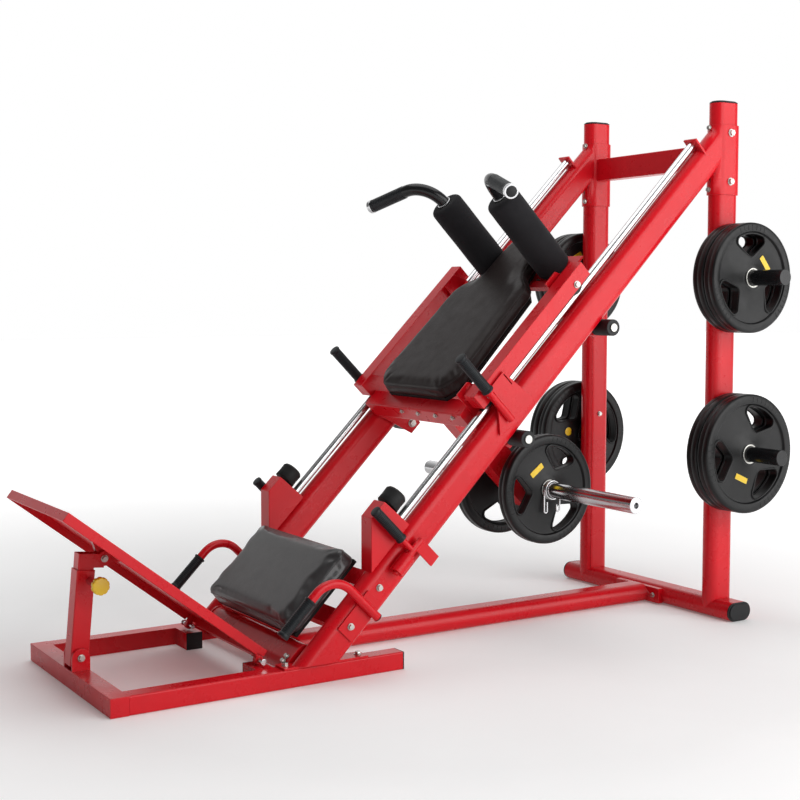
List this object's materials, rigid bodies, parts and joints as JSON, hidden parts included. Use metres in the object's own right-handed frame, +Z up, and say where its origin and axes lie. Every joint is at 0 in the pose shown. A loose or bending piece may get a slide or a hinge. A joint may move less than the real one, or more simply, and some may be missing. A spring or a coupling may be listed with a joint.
{
  "type": "leg press machine",
  "caption": "Plate-loaded 45 degree leg press and hack squat machine: sliding back-pad carriage on chrome guide rods, hinged foot plate, seat, safety levers and plate storage pegs.",
  "frame": {"origin": "on the floor, in the middle of the machine's length and width", "axes": "+X from the foot plate towards the uprights, +Y to the user's left, +Z up"},
  "size_m": [2.3584, 1.15, 1.664],
  "materials": {
    "red_paint": "glossy powder coat",
    "black_plastic": "moulded",
    "chrome": "polished",
    "bolt_steel": "zinc plated",
    "seat_vinyl": "satin upholstery vinyl",
    "back_vinyl": "matte upholstery vinyl",
    "pad_board": "black backing board",
    "grip_rubber": "ribbed grip",
    "bumper_rubber": "matte",
    "plate_rubber": "rubber coated cast iron",
    "black_paint": "glossy black powder coat",
    "foam": "dense foam",
    "yellow_plastic": "moulded knob"
  },
  "bodies": {
    "frame": {"front_cross_tube": "red_paint", "base_tube_left": "red_paint", "base_tube_right": "red_paint", "centre_base_tube": "red_paint", "seat_cross_tube": "red_paint", "rear_cross_tube": "red_paint", "tube_caps": "black_plastic", "upright_left": "red_paint", "upright_right": "red_paint", "top_cross_beam": "red_paint", "rail_left": "red_paint", "rail_right": "red_paint", "guide_rods": "chrome", "bumper_brackets": "red_paint", "bumpers": "bumper_rubber", "frame_bolts": "bolt_steel", "seat_frame": "red_paint", "seat_board": "pad_board", "seat_pad": "seat_vinyl", "seat_handles": "red_paint", "seat_grips": "grip_rubber", "storage_pegs": "black_paint", "lever_barrels": "red_paint", "foot_hinge_pins": "chrome"},
    "foot_platform": {"foot_plate": "red_paint", "foot_rib": "red_paint"},
    "post_sleeve": {"post_outer": "red_paint", "pop_pin_body": "chrome"},
    "post_slider": {"post_inner": "red_paint", "post_pin": "bolt_steel"},
    "pop_pin": {"pop_pin_knob": "yellow_plastic"},
    "safety_lever_left": {"lever_left": "red_paint", "lever_grip_left": "grip_rubber"},
    "safety_lever_right": {"lever_right": "red_paint", "lever_grip_right": "grip_rubber"},
    "carriage": {"carriage_channels": "red_paint", "carriage_wraps": "red_paint", "carriage_frame": "red_paint", "carriage_hangers": "red_paint", "carriage_bolts": "bolt_steel", "carriage_grips": "grip_rubber", "back_board": "pad_board", "back_pad": "back_vinyl", "headrest": "back_vinyl", "shoulder_handles": "black_paint", "shoulder_rollers": "foam", "handle_ends": "chrome", "weight_horns": "chrome"},
    "guide_wheels_lo": {"guide_wheels_lower": "black_plastic"},
    "guide_wheels_hi": {"guide_wheels_upper": "black_plastic"},
    "under_wheels_lo": {"under_wheels_lower": "black_plastic"},
    "under_wheels_hi": {"under_wheels_upper": "black_plastic"},
    "stored_upper_left": {"plates_upper_left": "plate_rubber"},
    "stored_upper_right": {"plates_upper_right": "plate_rubber"},
    "stored_lower_left": {"plates_lower_left": "plate_rubber"},
    "stored_lower_right": {"plates_lower_right": "plate_rubber"},
    "loaded_left": {"horn_plate_left": "plate_rubber", "spring_clip_left": "chrome"},
    "loaded_right": {"horn_plate_right": "plate_rubber", "spring_clip_right": "chrome"}
  },
  "joints": [
    {"name": "carriage_slide", "type": "slide", "parent": "frame", "child": "carriage", "axis": [0.7071, 0, 0.7071], "range_m": [-0.347, 0.54]},
    {"name": "foot_plate_tilt", "type": "hinge", "parent": "frame", "child": "foot_platform", "pos_m": [-0.64383, 0, 0.065], "axis": [0, 1, 0], "range_deg": [0, 10]},
    {"name": "post_swing", "type": "hinge", "parent": "frame", "child": "post_sleeve", "pos_m": [-1.06683, 0, 0.084], "axis": [0, 1, 0], "range_deg": [-1, 10]},
    {"name": "post_extend", "type": "slide", "parent": "post_sleeve", "child": "post_slider", "axis": [0.0906, 0, 0.9959], "range_m": [-0.002, 0.08]},
    {"name": "pop_pin_pull", "type": "slide", "parent": "post_sleeve", "child": "pop_pin", "axis": [0, -1, 0], "range_m": [0, 0.012], "stiffness_N_per_m": 600, "springref_m": -0.006},
    {"name": "safety_lever_left_swing", "type": "hinge", "parent": "frame", "child": "safety_lever_left", "pos_m": [-0.26331, 0.358, 0.30759], "axis": [-0.7071, 0, -0.7071], "range_deg": [0, 18]},
    {"name": "safety_lever_right_swing", "type": "hinge", "parent": "frame", "child": "safety_lever_right", "pos_m": [-0.26331, -0.358, 0.30759], "axis": [0.7071, 0, 0.7071], "range_deg": [0, 18]},
    {"name": "guide_wheels_lower_spin", "type": "hinge", "parent": "carriage", "child": "guide_wheels_lo", "pos_m": [0.04258, 0, 0.75547], "axis": [0, 1, 0], "continuous": true},
    {"name": "guide_wheels_upper_spin", "type": "hinge", "parent": "carriage", "child": "guide_wheels_hi", "pos_m": [0.36361, 0, 1.0765], "axis": [0, 1, 0], "continuous": true},
    {"name": "under_wheels_lower_spin", "type": "hinge", "parent": "carriage", "child": "under_wheels_lo", "pos_m": [0.17156, 0, 0.6265], "axis": [0, 1, 0], "continuous": true},
    {"name": "under_wheels_upper_spin", "type": "hinge", "parent": "carriage", "child": "under_wheels_hi", "pos_m": [0.49258, 0, 0.94752], "axis": [0, 1, 0], "continuous": true},
    {"name": "stored_upper_left_slide", "type": "slide", "parent": "frame", "child": "stored_upper_left", "axis": [0, 1, 0], "range_m": [0, 0.12]},
    {"name": "stored_upper_right_slide", "type": "slide", "parent": "frame", "child": "stored_upper_right", "axis": [0, -1, 0], "range_m": [0, 0.12]},
    {"name": "stored_lower_left_slide", "type": "slide", "parent": "frame", "child": "stored_lower_left", "axis": [0, 1, 0], "range_m": [0, 0.12]},
    {"name": "stored_lower_right_slide", "type": "slide", "parent": "frame", "child": "stored_lower_right", "axis": [0, -1, 0], "range_m": [0, 0.12]},
    {"name": "loaded_left_slide", "type": "slide", "parent": "carriage", "child": "loaded_left", "axis": [0, 1, 0], "range_m": [0, 0.12]},
    {"name": "loaded_right_slide", "type": "slide", "parent": "carriage", "child": "loaded_right", "axis": [0, -1, 0], "range_m": [0, 0.12]}
  ],
  "couplings": [
    {"joint": "post_swing", "follows": "foot_plate_tilt", "ratio": 0.8455},
    {"joint": "post_extend", "follows": "foot_plate_tilt", "m_per_rad": 0.413},
    {"joint": "guide_wheels_lower_spin", "follows": "carriage_slide", "rad_per_m": 46.729},
    {"joint": "guide_wheels_upper_spin", "follows": "carriage_slide", "rad_per_m": 46.729},
    {"joint": "under_wheels_lower_spin", "follows": "carriage_slide", "rad_per_m": -37.037},
    {"joint": "under_wheels_upper_spin", "follows": "carriage_slide", "rad_per_m": -37.037}
  ]
}
